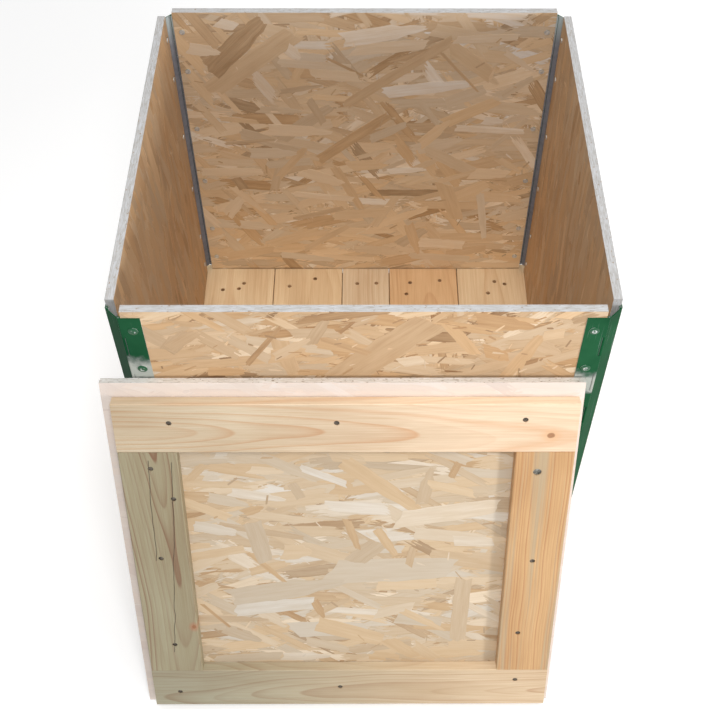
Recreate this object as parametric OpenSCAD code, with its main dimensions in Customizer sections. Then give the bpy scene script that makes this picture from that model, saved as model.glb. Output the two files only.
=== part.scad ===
// Folding wooden crate: a hinged ring of four board walls that stands on a low pallet
// base, with a battened lid that leans against the front wall.
// X runs to the right, Y to the back and Z up. The origin is on the ground, under the
// middle of the base.

/* [Crate] */
// Outside width of the ring, left to right
body_w = 500; // [360:1:800]
// Outside depth of the ring, front to back
body_d = 486; // [360:1:800]
// Height of the wall panels
wall_h = 455; // [300:1:700]
// Thickness of the wall panels
wall_t = 9; // [7:0.5:15]
// Gap under the ring where it stands on the deck
ring_seat = 0.3; // [0.1:0.1:1]

/* [Corner hinges] */
// Thickness of the hinge sheet
sheet_t = 0.8; // [0.6:0.1:1.2]
// Width of a hinge leaf, from its fold line to its free edge
leaf_w = 21; // [18:0.5:40]
// Distance from the rim and from the foot of a panel to the end of the steel
steel_inset = 9; // [2:0.5:30]
// Diameter of the hinge pins
pin_d = 1.8; // [1.5:0.1:3]
// Radial play of a pin in its knuckles
pin_play = 0.05; // [0.03:0.01:0.1]
// Number of knuckles along one fold line, leaf and spine together
knuckles = 15; // [5:2:25]
// Gap between two knuckles, along the pin
knuckle_gap = 0.3; // [0.2:0.1:1]
// How far the rolled knuckles stand out past the sheet
knuckle_rise = 0.1; // [0.05:0.05:0.3]
// Clearance between a knuckle and the wood or sheet beside it
knuckle_clear = 0.4; // [0.3:0.1:1]
// Gap left between two walls that lie folded on each other
fold_gap = 2; // [1.6:0.1:6]

/* [Rivets] */
// Diameter of a rivet shank
rivet_d = 4.8; // [3:0.2:6]
// Radial play of a rivet in its hole
rivet_play = 0.05; // [0.03:0.01:0.2]
// Diameter of a rivet head
rivet_head_d = 10; // [8:0.5:12]
// Height of the domed rivet head
rivet_head_h = 1.5; // [1:0.1:3]
// Thickness of the flat rim round a rivet head
rivet_rim_t = 0.4; // [0.2:0.1:0.8]
// Diameter of the clinched tail on the inner face
rivet_tail_d = 7; // [6.5:0.5:9]
// Height of the clinched tail
rivet_tail_h = 0.6; // [0.3:0.1:0.7]
// Distance of the rivet row from the fold line
rivet_from_fold = 11.5; // [10:0.5:13]
// Distance of the first rivet from the end of the steel
rivet_end = 19; // [8:0.5:40]
// Spacing of the close pair of rivets at each end
rivet_pair = 59; // [30:1:90]
// Number of rivets spread between the two pairs
rivets_between = 2; // [0:1:6]

/* [Base] */
// Thickness of the deck boards
deck_t = 18; // [12:1:30]
// Width of the two inner deck boards
inner_board_w = 102; // [60:1:110]
// Width of the narrow middle deck board
middle_board_w = 70; // [40:1:90]
// Gap between deck boards
board_gap = 1; // [0.5:0.5:6]
// Width of a skid
skid_w = 70; // [50:1:100]
// Height of a skid
skid_h = 85; // [60:1:120]

/* [Lid] */
// Thickness of the lid sheet
lid_t = 9; // [6:0.5:15]
// How much the lid sheet is smaller than the ring, on each side
lid_inset = 2; // [0:0.5:5]
// Width of the lid battens
batten_w = 62; // [40:1:90]
// Thickness of the lid battens
batten_t = 14; // [10:0.5:25]
// Play of the batten frame inside the side walls, on each side
frame_side_play = 1.5; // [0.5:0.5:4]
// Play of the batten frame inside the front and back walls, on each side
frame_end_play = 5; // [1:0.5:8]
// How far the batten frame sits to the right of the middle of the sheet
frame_shift = 3; // [-4:0.5:4]
// Strip of sheet left bare along the top edge of the lid
frame_top = 17; // [10:0.5:20]
// Lean of the lid from upright, in degrees
lid_lean = 18.3; // [8:0.1:30]
// How far the leaning lid stands to the left of the middle of the crate
lid_left = 22; // [0:1:60]
// Air between the lid and the rivet heads it leans over
lid_air = 0.3; // [0.3:0.1:2]
// Air between the lid and the ground
lid_seat = 0.3; // [0.1:0.1:1]

/* [Timber and nails] */
// Chamfer along the planed edges of the boards and battens
edge_ease = 0.8; // [0.3:0.1:2]
// Diameter of a nail shank
nail_d = 3; // [2:0.1:4]
// Diameter of a nail head
nail_head_d = 6; // [5:0.5:9]
// Thickness of a nail head
nail_head_t = 1; // [0.6:0.1:2]
// How deep the nail heads are sunk below the wood
nail_sink = 1.2; // [0.2:0.1:1.5]
// Radial play of a nail in its hole
nail_play = 0.05; // [0.03:0.01:0.2]
// Length of a deck nail
deck_nail_l = 50; // [30:1:70]
// Length of a lid nail
lid_nail_l = 19; // [16:0.5:20]
// Diameter of the countersunk head of the lid screw
screw_head_d = 9; // [7:0.5:10]
// Diameter of the lid screw's shank
screw_d = 4; // [3:0.5:4.5]
// Length of the lid screw
screw_l = 20; // [16:0.5:21]

/* [Hidden] */

LEFT = -1;
RIGHT = 1;
FRONT = -1;
BACK = 1;
round_fn = 48;
over = 1;

// heights of the stack, from the ground up
deck_z = skid_h + deck_t;
wall_z = deck_z + ring_seat;
rim_z = wall_z + wall_h;
steel_h = wall_h - 2 * steel_inset;

// The corner hinge, seen from above with the outer corner of the ring at 0, 0. A wall
// runs along each axis. Two pins lie just inside the sheet, and the spine spans them at
// 45 degrees. Its width lets two walls fold flat on each other with fold_gap to spare.
bore_r = pin_d / 2 + pin_play;
knuckle_r = bore_r + sheet_t;
pin_depth = knuckle_r - sheet_t - knuckle_rise;
spine_span = 2 * (wall_t - pin_depth) + fold_gap;
fold_x = pin_depth + spine_span / sqrt(2);
sheet_back = knuckle_r + knuckle_clear;
panel_end = fold_x + knuckle_r + knuckle_clear;
knuckle_pitch = steel_h / knuckles;

rivet_x = fold_x + rivet_from_fold;
rivet_low = steel_inset + rivet_end;
rivet_inner = rivet_low + rivet_pair;
rivet_spread = wall_h - 2 * rivet_inner;
rivet_zs = [
    rivet_low,
    for (i = [0 : rivets_between + 1]) rivet_inner + rivet_spread * i / (rivets_between + 1),
    wall_h - rivet_low
];

outer_board_w = (body_w - middle_board_w - 2 * inner_board_w - 4 * board_gap) / 2;
inner_board_x = middle_board_w / 2 + board_gap + inner_board_w / 2;
outer_board_x = body_w / 2 - outer_board_w / 2;
skid_y = body_d / 2 - skid_w / 2;
skid_ys = [-skid_y, 0, skid_y];

lid_w = body_w - 2 * lid_inset;
lid_l = body_d - 2 * lid_inset;
frame_w = body_w - 2 * wall_t - 2 * frame_side_play;
frame_l = body_d - 2 * wall_t - 2 * frame_end_play;
frame_low = lid_l - frame_top - frame_l;
lid_off = sheet_t + rivet_head_h + lid_air;
lid_foot_y = -body_d / 2 - lid_off - lid_l * sin(lid_lean);
frame_y = frame_low + frame_l / 2;
side_batten_l = frame_l - 2 * batten_w;
side_batten_x = (frame_w - batten_w) / 2;
cross_batten_y = (frame_l - batten_w) / 2;

// Places of the deck nails, which are driven by hand. The first number is across the board,
// as a share of half its width. The second is along it, as a share of half the width of the
// skid below, and counts towards the outside of the crate.
left_nails = [[-0.37, -0.46], [0.19, -0.09], [0.06, -0.40]];
mid_left_nails = [[-0.55, -0.26], [0.20, 0.17]];
middle_nails = [[-0.37, -0.11], [0.46, -0.09]];
mid_right_nails = [[-0.39, -0.06], [0.49, 0.06], [-0.51, -0.71]];
right_nails = [[0.01, 0.00], [0.28, -0.14], [-0.19, -0.66]];

// Places of the lid nails and the lid screw. The first number is along the batten, as a
// share of half its length, and the second across it, as a share of half its width.
top_batten_nails = [[-0.76, 0.23], [-0.04, 0.23], [0.77, 0.35]];
bottom_batten_nails = [[-0.87, -0.23], [-0.05, 0.03], [0.84, 0.42]];
left_batten_nails = [[0.87, 0.05], [0.62, 0.70], [0.10, -0.02], [-0.73, 0.05]];
right_batten_nails = [[0.07, -0.05], [-0.62, -0.31]];
right_batten_screw = [0.84, -0.21];

osb = [0.84, 0.68, 0.47];
pine = [0.88, 0.74, 0.54];
steel_green = [0.16, 0.38, 0.25];
zinc = [0.70, 0.72, 0.73];

// Puts a shape drawn for the front left corner at any corner of the ring
module at_corner(side, end) {
    translate([side * body_w / 2, end * body_d / 2, wall_z])
        mirror([side == RIGHT ? 1 : 0, 0, 0])
            mirror([0, end == BACK ? 1 : 0, 0])
                children();
}

// Turns a shape drawn on the front wall of a corner over to the side wall
module on_side_wall() {
    mirror([1, -1, 0]) children();
}

// A planed board or batten lying along Y, centred on X, with its underside at 0
module timber(width, thick, long) {
    half = width / 2;
    e = edge_ease;
    translate([0, long / 2, 0])
        rotate([90, 0, 0])
            linear_extrude(long)
                polygon([
                    [-half + e, 0], [half - e, 0], [half, e], [half, thick - e],
                    [half - e, thick], [-half + e, thick], [-half, thick - e], [-half, e]
                ]);
}

// A nail pointing down, with the top of its head sunk below height 0
module nail(long, play = 0) {
    recess = play > 0 ? nail_sink + over : 0;
    translate([0, 0, -nail_sink - nail_head_t])
        cylinder(r = nail_head_d / 2 + play, h = nail_head_t + recess, $fn = round_fn);
    translate([0, 0, -nail_sink - long])
        cylinder(r = nail_d / 2 + play, h = long - nail_head_t / 2, $fn = round_fn);
}

// The nails of one board, in the same hand-driven pattern at each skid
module board_nails(x, width, places, play = 0) {
    for (row = [FRONT, 0, BACK])
        for (place = places)
            translate([
                x + place[0] * width / 2,
                row * skid_y + (row == FRONT ? -1 : 1) * place[1] * skid_w / 2,
                deck_z
            ])
                nail(deck_nail_l, play);
}

module all_deck_nails(play = 0) {
    board_nails(-outer_board_x, outer_board_w, left_nails, play);
    board_nails(-inner_board_x, inner_board_w, mid_left_nails, play);
    board_nails(0, middle_board_w, middle_nails, play);
    board_nails(inner_board_x, inner_board_w, mid_right_nails, play);
    board_nails(outer_board_x, outer_board_w, right_nails, play);
}

module deck_board(x, width, places) {
    color(pine)
        difference() {
            translate([x, 0, skid_h]) timber(width, deck_t, body_d);
            board_nails(x, width, places, nail_play);
        }
}

module skid(y) {
    color(pine)
        difference() {
            translate([0, y, 0]) rotate([0, 0, 90]) timber(skid_w, skid_h, body_w);
            all_deck_nails(nail_play);
        }
}

module deck_nails() {
    color(zinc) all_deck_nails();
}

// One rivet of the front wall of a corner, or the hole for it
module rivet(z) {
    head_r = rivet_head_d / 2;
    dome_h = rivet_head_h - rivet_rim_t;
    dome_r = (head_r * head_r + dome_h * dome_h) / (2 * dome_h);
    translate([rivet_x, -sheet_t, z])
        rotate([90, 0, 0]) {
            cylinder(r = head_r, h = rivet_rim_t, $fn = round_fn);
            intersection() {
                translate([0, 0, rivet_head_h - dome_r]) sphere(r = dome_r, $fn = round_fn);
                cylinder(r = head_r, h = rivet_head_h + over, $fn = round_fn);
            }
            translate([0, 0, -sheet_t - wall_t])
                cylinder(r = rivet_d / 2, h = sheet_t + wall_t, $fn = round_fn);
            translate([0, 0, -sheet_t - wall_t - rivet_tail_h])
                cylinder(r = rivet_tail_d / 2, h = rivet_tail_h, $fn = round_fn);
        }
}

module rivet_hole(z) {
    translate([rivet_x, wall_t + over, z])
        rotate([90, 0, 0])
            cylinder(r = rivet_d / 2 + rivet_play, h = wall_t + sheet_t + 2 * over, $fn = round_fn);
}

module corner_rivets() {
    for (z = rivet_zs) rivet(z);
}

module corner_rivet_holes() {
    for (z = rivet_zs) rivet_hole(z);
}

// A panel of the front or back wall
module cross_panel(end) {
    color(osb)
        difference() {
            translate([-body_w / 2 + panel_end, end * (body_d - wall_t) / 2 - wall_t / 2, wall_z])
                cube([body_w - 2 * panel_end, wall_t, wall_h]);
            at_corner(LEFT, end) corner_rivet_holes();
            at_corner(RIGHT, end) corner_rivet_holes();
        }
}

// A panel of the left or right wall
module side_panel(side) {
    color(osb)
        difference() {
            translate([side * (body_w - wall_t) / 2 - wall_t / 2, -body_d / 2 + panel_end, wall_z])
                cube([wall_t, body_d - 2 * panel_end, wall_h]);
            at_corner(side, FRONT) on_side_wall() corner_rivet_holes();
            at_corner(side, BACK) on_side_wall() corner_rivet_holes();
        }
}

module cross_rivets(end) {
    color(zinc) {
        at_corner(LEFT, end) corner_rivets();
        at_corner(RIGHT, end) corner_rivets();
    }
}

module side_rivets(side) {
    color(zinc) {
        at_corner(side, FRONT) on_side_wall() corner_rivets();
        at_corner(side, BACK) on_side_wall() corner_rivets();
    }
}

// Height at which knuckle i starts, and its length: gaps fall between knuckles only
function knuckle_z(i) = steel_inset + i * knuckle_pitch + (i > 0 ? knuckle_gap / 2 : 0);
function knuckle_top(i) =
    steel_inset + (i + 1) * knuckle_pitch - (i < knuckles - 1 ? knuckle_gap / 2 : 0);

module knuckle_bore() {
    translate([0, 0, steel_inset - over])
        cylinder(r = bore_r, h = steel_h + 2 * over, $fn = round_fn);
}

// The leaf on the front wall of a corner: a sheet riveted to the panel, with every
// second knuckle rolled round the pin
module leaf() {
    color(steel_green)
        difference() {
            union() {
                translate([fold_x + sheet_back, -sheet_t, steel_inset])
                    cube([leaf_w - sheet_back, sheet_t, steel_h]);
                for (i = [0 : 2 : knuckles - 1]) {
                    z = knuckle_z(i);
                    long = knuckle_top(i) - z;
                    translate([fold_x, -sheet_t, z]) cube([sheet_back + over, sheet_t, long]);
                    translate([fold_x, pin_depth, z]) cylinder(r = knuckle_r, h = long, $fn = round_fn);
                }
            }
            translate([fold_x, pin_depth, 0]) knuckle_bore();
            corner_rivet_holes();
        }
}

// The spine of a corner, with the knuckles that lie between those of its two leaves
module spine() {
    color(steel_green)
        translate([(fold_x + pin_depth) / 2, (fold_x + pin_depth) / 2, 0])
            rotate([0, 0, -45])
                difference() {
                    union() {
                        translate([-spine_span / 2 + sheet_back, -pin_depth - sheet_t, steel_inset])
                            cube([spine_span - 2 * sheet_back, sheet_t, steel_h]);
                        for (i = [1 : 2 : knuckles - 2]) {
                            z = knuckle_z(i);
                            long = knuckle_top(i) - z;
                            translate([-spine_span / 2, -pin_depth - sheet_t, z])
                                cube([spine_span, sheet_t, long]);
                            for (s = [-1, 1])
                                translate([s * spine_span / 2, 0, z])
                                    cylinder(r = knuckle_r, h = long, $fn = round_fn);
                        }
                    }
                    for (s = [-1, 1]) translate([s * spine_span / 2, 0, 0]) knuckle_bore();
                }
}

// The wire pin of the front wall of a corner
module hinge_pin() {
    color(zinc)
        translate([fold_x, pin_depth, steel_inset])
            cylinder(r = pin_d / 2, h = steel_h, $fn = round_fn);
}

// The lid is drawn flat, with its bottom edge on X and the battens on top of the
// sheet, and then leaned against the front wall
module lean() {
    translate([-lid_left, lid_foot_y, lid_seat])
        rotate([90 - lid_lean, 0, 0])
            children();
}

// Puts a shape on the face of a batten of the frame
module on_batten(x, y) {
    translate([frame_shift + x, frame_y + y, lid_t + batten_t]) children();
}

module cross_batten_nails(y, places, play) {
    for (place = places)
        on_batten(place[0] * frame_w / 2, y + place[1] * batten_w / 2) nail(lid_nail_l, play);
}

module side_batten_nails(x, places, play) {
    for (place = places)
        on_batten(x + place[1] * batten_w / 2, place[0] * side_batten_l / 2) nail(lid_nail_l, play);
}

module lid_nail_set(play = 0) {
    cross_batten_nails(cross_batten_y, top_batten_nails, play);
    cross_batten_nails(-cross_batten_y, bottom_batten_nails, play);
    side_batten_nails(-side_batten_x, left_batten_nails, play);
    side_batten_nails(side_batten_x, right_batten_nails, play);
}

// A countersunk screw pointing down, sunk as deep as the nails
module wood_screw(play = 0) {
    head_r = screw_head_d / 2 + play;
    shank_r = screw_d / 2 + play;
    recess = play > 0 ? nail_sink + over : 0;
    translate([0, 0, -nail_sink]) {
        translate([0, 0, shank_r - head_r])
            cylinder(r1 = shank_r, r2 = head_r, h = head_r - shank_r, $fn = round_fn);
        cylinder(r = head_r, h = recess, $fn = round_fn);
        translate([0, 0, -screw_l]) cylinder(r = shank_r, h = screw_l - 0.1, $fn = round_fn);
    }
}

module place_screw() {
    on_batten(
        side_batten_x + right_batten_screw[1] * batten_w / 2,
        right_batten_screw[0] * side_batten_l / 2
    )
        children();
}

module lid_sheet() {
    color(osb)
        lean()
            difference() {
                translate([-lid_w / 2, 0, 0]) cube([lid_w, lid_l, lid_t]);
                lid_nail_set(nail_play);
                place_screw() wood_screw(nail_play);
            }
}

// A batten along the top or bottom edge of the lid
module lid_cross_batten(y) {
    color(pine)
        lean()
            difference() {
                translate([frame_shift, frame_y + y, lid_t])
                    rotate([0, 0, 90])
                        timber(batten_w, batten_t, frame_w);
                lid_nail_set(nail_play);
            }
}

// A batten down the left or right edge, between the other two
module lid_side_batten(x) {
    color(pine)
        lean()
            difference() {
                translate([frame_shift + x, frame_y, lid_t]) timber(batten_w, batten_t, side_batten_l);
                lid_nail_set(nail_play);
                place_screw() wood_screw(nail_play);
            }
}

module lid_nails() {
    color(zinc) lean() lid_nail_set();
}

// The one screw of the lid, with a cross recess in its head
module lid_screw() {
    color(zinc)
        lean()
            place_screw()
                difference() {
                    wood_screw();
                    for (turn = [30, 120])
                        translate([0, 0, -nail_sink])
                            rotate([0, 0, turn])
                                cube([screw_head_d * 0.55, 1, 2], center = true);
                }
}

deck_board(-outer_board_x, outer_board_w, left_nails);  // deck_board_left
deck_board(-inner_board_x, inner_board_w, mid_left_nails);  // deck_board_mid_left
deck_board(0, middle_board_w, middle_nails);  // deck_board_middle
deck_board(inner_board_x, inner_board_w, mid_right_nails);  // deck_board_mid_right
deck_board(outer_board_x, outer_board_w, right_nails);  // deck_board_right
skid(skid_y);  // skid_back
skid(0);  // skid_middle
skid(-skid_y);  // skid_front
deck_nails();

cross_panel(BACK);  // back_wall_panel
cross_panel(FRONT);  // front_wall_panel
side_panel(LEFT);  // left_wall_panel
side_panel(RIGHT);  // right_wall_panel

at_corner(LEFT, BACK) leaf();  // back_left_back_leaf
at_corner(LEFT, BACK) on_side_wall() leaf();  // back_left_side_leaf
at_corner(RIGHT, BACK) leaf();  // back_right_back_leaf
at_corner(RIGHT, BACK) on_side_wall() leaf();  // back_right_side_leaf
at_corner(LEFT, FRONT) leaf();  // front_left_front_leaf
at_corner(LEFT, FRONT) on_side_wall() leaf();  // front_left_side_leaf
at_corner(RIGHT, FRONT) leaf();  // front_right_front_leaf
at_corner(RIGHT, FRONT) on_side_wall() leaf();  // front_right_side_leaf

at_corner(LEFT, BACK) spine();  // back_left_spine
at_corner(RIGHT, BACK) spine();  // back_right_spine
at_corner(LEFT, FRONT) spine();  // front_left_spine
at_corner(RIGHT, FRONT) spine();  // front_right_spine

at_corner(LEFT, BACK) hinge_pin();  // back_left_back_pin
at_corner(LEFT, BACK) on_side_wall() hinge_pin();  // back_left_side_pin
at_corner(RIGHT, BACK) hinge_pin();  // back_right_back_pin
at_corner(RIGHT, BACK) on_side_wall() hinge_pin();  // back_right_side_pin
at_corner(LEFT, FRONT) hinge_pin();  // front_left_front_pin
at_corner(LEFT, FRONT) on_side_wall() hinge_pin();  // front_left_side_pin
at_corner(RIGHT, FRONT) hinge_pin();  // front_right_front_pin
at_corner(RIGHT, FRONT) on_side_wall() hinge_pin();  // front_right_side_pin

cross_rivets(BACK);  // back_wall_rivets
cross_rivets(FRONT);  // front_wall_rivets
side_rivets(LEFT);  // left_wall_rivets
side_rivets(RIGHT);  // right_wall_rivets

lid_sheet();
lid_cross_batten(cross_batten_y);  // lid_batten_top
lid_cross_batten(-cross_batten_y);  // lid_batten_bottom
lid_side_batten(-side_batten_x);  // lid_batten_left
lid_side_batten(side_batten_x);  // lid_batten_right
lid_nails();
lid_screw();
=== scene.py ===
# %% [markdown]
# # A folding wooden crate
# The real crate is a ring of four strand board walls on a pallet base of pine, with a battened
# lid. The walls are joined by green hinge strips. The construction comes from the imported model.
# This lesson gives every surface its finish and adds what only shows up close.

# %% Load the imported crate
import math
import random

import bpy
from mathutils import Matrix, Vector


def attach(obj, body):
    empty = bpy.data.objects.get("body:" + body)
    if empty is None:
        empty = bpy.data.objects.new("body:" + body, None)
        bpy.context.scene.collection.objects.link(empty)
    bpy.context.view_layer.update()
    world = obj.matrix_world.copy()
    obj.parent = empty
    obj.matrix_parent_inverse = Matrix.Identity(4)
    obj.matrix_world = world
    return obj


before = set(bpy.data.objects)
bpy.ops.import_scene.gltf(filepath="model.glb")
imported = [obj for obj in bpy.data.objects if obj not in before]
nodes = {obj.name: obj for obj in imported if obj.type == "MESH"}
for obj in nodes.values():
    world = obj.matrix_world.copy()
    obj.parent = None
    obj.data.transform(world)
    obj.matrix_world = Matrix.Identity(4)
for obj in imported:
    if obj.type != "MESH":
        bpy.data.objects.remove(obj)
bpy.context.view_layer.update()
bpy.ops.object.select_all(action="DESELECT")

# %% [markdown]
# ## Camera
# The photograph was taken from above the front edge, looking down into the open crate. The
# camera's place was found by matching the rim, the floor corners and the lid. A small shift
# keeps the crate where the photograph frames it.

# %% Camera
CAMERA_PLACE = Vector((0.0047, -0.9496, 1.3820))
CAMERA_TILT = 0.6578
CAMERA_TURN = -0.0101
CAMERA_ROLL = 0.0068
LENS = 56.75
SHIFT = (-0.0222, 0.0140)

camera = bpy.data.objects.new("camera", bpy.data.cameras.new("camera"))
bpy.context.collection.objects.link(camera)
turn = Matrix.Rotation(CAMERA_TURN, 4, "Z")
tilt = Matrix.Rotation(CAMERA_TILT, 4, "X")
roll = Matrix.Rotation(CAMERA_ROLL, 4, "Z")
camera.matrix_world = Matrix.Translation(CAMERA_PLACE) @ turn @ tilt @ roll
camera.data.lens = LENS
camera.data.shift_x, camera.data.shift_y = SHIFT
bpy.context.scene.camera = camera
print("camera at", tuple(CAMERA_PLACE))

# %% [markdown]
# ## Floor and light
# A pale floor and four soft lamps stand for a bright plain room. One lamp stands low at the
# right, because in the photograph the lid's right batten throws a shadow to its left, while
# the inside of the crate is lit from above and from the front. To the camera the floor glows a
# little, and more far off, so that it stays pale and runs into the white room. The short
# functions that add nodes are used again by the finishes below.

# %% Floor and lamps
bpy.context.scene.view_settings.view_transform = "Standard"

def feed(tree, node, inputs):
    """Links or sets the inputs of a node, given by name or in order."""
    pairs = inputs.items() if isinstance(inputs, dict) else enumerate(inputs)
    for key, value in pairs:
        if isinstance(value, bpy.types.NodeSocket):
            tree.links.new(value, node.inputs[key])
        else:
            node.inputs[key].default_value = value

def put(tree, kind, inputs=(), out=0, **settings):
    """Adds a node, feeds its inputs, and returns one of its outputs."""
    made = tree.nodes.new("ShaderNode" + kind)
    for key, value in settings.items():
        setattr(made, key, value)
    feed(tree, made, inputs)
    return made.outputs[out]

def calc(tree, how, *values, clamp=False):
    return put(tree, "Math", values, operation=how, use_clamp=clamp)

def calc_vector(tree, how, *values, out=0):
    return put(tree, "VectorMath", values, out, operation=how)

def surface(tree):
    """Place and normal of the surface in the object's own coordinates."""
    source = tree.nodes.new("ShaderNodeTexCoord")
    return source.outputs["Object"], source.outputs["Normal"]

def show(tree, shader, kind="OutputMaterial"):
    """Links a shader to the output of its tree."""
    output = tree.nodes.new("ShaderNode" + kind)
    tree.links.new(shader, output.inputs["Surface"])

def seen(red, green, blue):
    """A colour as it looks on a screen, 0 to 255, as the linear colour that a shader takes."""
    linear = [((c / 255 + 0.055) / 1.055) ** 2.4 if c > 10 else c / 3294
              for c in (red, green, blue)]
    return (*linear, 1.0)

def new_material(name):
    """A material and its empty node tree."""
    made = bpy.data.materials.new(name)
    made.use_nodes = True
    made.node_tree.nodes.clear()
    return made, made.node_tree

def area_lamp(name, place, aim, size, power):
    lamp = bpy.data.objects.new(name, bpy.data.lights.new(name, "AREA"))
    bpy.context.collection.objects.link(lamp)
    lamp.data.shape = "DISK"
    lamp.data.size = size
    lamp.data.energy = power
    lamp.location = place
    lamp.visible_camera = False
    lamp.rotation_euler = (Vector(aim) - Vector(place)).to_track_quat("-Z", "Y").to_euler()

FLOOR_SIZE = 30
floor_paint, tree = new_material("floor_paint")
camera_ray = put(tree, "LightPath")
matt = put(tree, "BsdfDiffuse", {"Color": (0.86, 0.86, 0.86, 1)})
away = calc_vector(tree, "LENGTH", surface(tree)[0], out=1)
strength = put(tree, "MapRange", {
    "Value": away, "From Min": 1.0, "From Max": 4.0, "To Min": 0.27, "To Max": 0.68})
glow = put(tree, "Emission", {"Color": (1, 1, 1, 1), "Strength": strength})
lit = put(tree, "AddShader", (matt, glow))
show(tree, put(tree, "MixShader", (camera_ray, matt, lit)))
bpy.ops.mesh.primitive_plane_add(size=FLOOR_SIZE, location=(0, 0, 0))
floor = bpy.context.object
floor.name = "floor"
floor.data.materials.append(floor_paint)

world = bpy.data.worlds.new("room")
bpy.context.scene.world = world
world.use_nodes = True
tree = world.node_tree
tree.nodes.clear()
path = tree.nodes.new("ShaderNodeLightPath")
clear_view = calc(tree, "MAXIMUM", path.outputs["Is Camera Ray"], path.outputs["Is Glossy Ray"])
clear_view = calc(tree, "MAXIMUM", clear_view, path.outputs["Is Transmission Ray"])
room_light = put(tree, "Background", {"Color": (1, 1, 1, 1), "Strength": 0.31})
white_view = put(tree, "Background", {"Color": (1, 1, 1, 1), "Strength": 1.0})
show(tree, put(tree, "MixShader", (clear_view, room_light, white_view)), "OutputWorld")

AIM = (0, 0, 0.3)
area_lamp("key_lamp", (0.06, -1.1, 1.9), AIM, 0.6, 19)
area_lamp("side_lamp", (1.6, -1.5, 0.72), AIM, 0.35, 18)
area_lamp("top_lamp", (-0.05, 0, 2.6), AIM, 1.2, 22)
area_lamp("back_lamp", (0.9, 1.8, 1.5), AIM, 1.6, 9)
print("floor and", len(bpy.data.lights), "lamps")

# %% [markdown]
# ## Tools for materials
# Every finish is made of nodes. A few short functions keep the node trees readable: one does
# sums, one mixes, one makes a group with named sockets and one places a group.

# %% Node tools
def times(tree, value, factor):
    return calc(tree, "MULTIPLY", value, factor)

def scaled(tree, value, factor, added):
    """The value times a factor, with something added."""
    return calc(tree, "MULTIPLY_ADD", value, factor, added)

def ramp_value(tree, value, start, end, low=0.0, high=1.0):
    """Turns value from start..end into low..high, softly at both ends."""
    return put(tree, "MapRange", (value, start, end, low, high), interpolation_type="SMOOTHSTEP")

def mix_value(tree, share, under, over):
    return put(tree, "Mix", {0: share, 2: under, 3: over}, data_type="FLOAT")

def mix_colour(tree, share, under, over, how="MIX"):
    return put(tree, "Mix", {0: share, 6: under, 7: over}, 2, data_type="RGBA", blend_type=how)

def parts_of(tree, value, kind="SeparateXYZ"):
    """The three parts of a vector, or of a colour with the kind SeparateColor."""
    split = tree.nodes.new("ShaderNode" + kind)
    tree.links.new(value, split.inputs[0])
    return split.outputs[0], split.outputs[1], split.outputs[2]

def reorder(tree, vector, order):
    """The same vector with its parts in another order, such as xzy."""
    found = dict(zip("xyz", parts_of(tree, vector)))
    return put(tree, "CombineXYZ", [found[letter] for letter in order])

def centred(tree, value):
    """A value of 0 to 1 as one of -0.5 to 0.5."""
    return calc(tree, "SUBTRACT", value, 0.5)

def noise(tree, place, scale, detail, rough):
    sockets = {"Vector": place, "Scale": scale, "Detail": detail, "Roughness": rough}
    return put(tree, "TexNoise", sockets)

def stretched(tree, place, x, y, z):
    return calc_vector(tree, "MULTIPLY", place, (x, y, z))

def streaked(tree, place, stretch, detail, rough):
    """Noise with its own scale along each direction, so that it runs along the lowest."""
    return noise(tree, stretched(tree, place, *stretch), 1.0, detail, rough)

def colours(tree, value, stops):
    """A colour ramp with stops of (place, colour)."""
    made = tree.nodes.new("ShaderNodeValToRGB")
    tree.links.new(value, made.inputs[0])
    band = made.color_ramp
    while len(band.elements) < len(stops):
        band.elements.new(0.5)
    for element, (place, colour) in zip(band.elements, stops):
        element.position = place
        element.color = colour
    return made.outputs[0]

ORIGIN = (0.0, 0.0, 0.0)

def new_group(name, inputs, outputs):
    """A shader node group. inputs maps a name to its default, outputs a name to its kind."""
    made = bpy.data.node_groups.new(name, "ShaderNodeTree")
    for key, default in inputs.items():
        kind = "NodeSocketVector" if isinstance(default, tuple) else "NodeSocketFloat"
        socket = made.interface.new_socket(key, in_out="INPUT", socket_type=kind)
        socket.default_value = default
    for key, kind in outputs.items():
        made.interface.new_socket(key, in_out="OUTPUT", socket_type="NodeSocket" + kind)
    given = made.nodes.new("NodeGroupInput")
    result = made.nodes.new("NodeGroupOutput")
    return made, given.outputs, result.inputs

def use_group(tree, group, inputs):
    made = tree.nodes.new("ShaderNodeGroup")
    made.node_tree = group
    feed(tree, made, inputs)
    return made.outputs

print("node tools ready")

# %% [markdown]
# ## Strand board
# The walls and the lid are oriented strand board: long thin strands of wood, pressed in layers.
# One layer is a grid of long cells, and each cell holds one strand with its own size, tilt and
# ragged ends. Layers with different directions lie on each other, the small strands below and
# the large ones on top. A layer passes on which strand is on top at a place, and where on that
# strand the place is. The grain is worked out once, at the end, for the strand on top.

# %% One layer of strands

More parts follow.
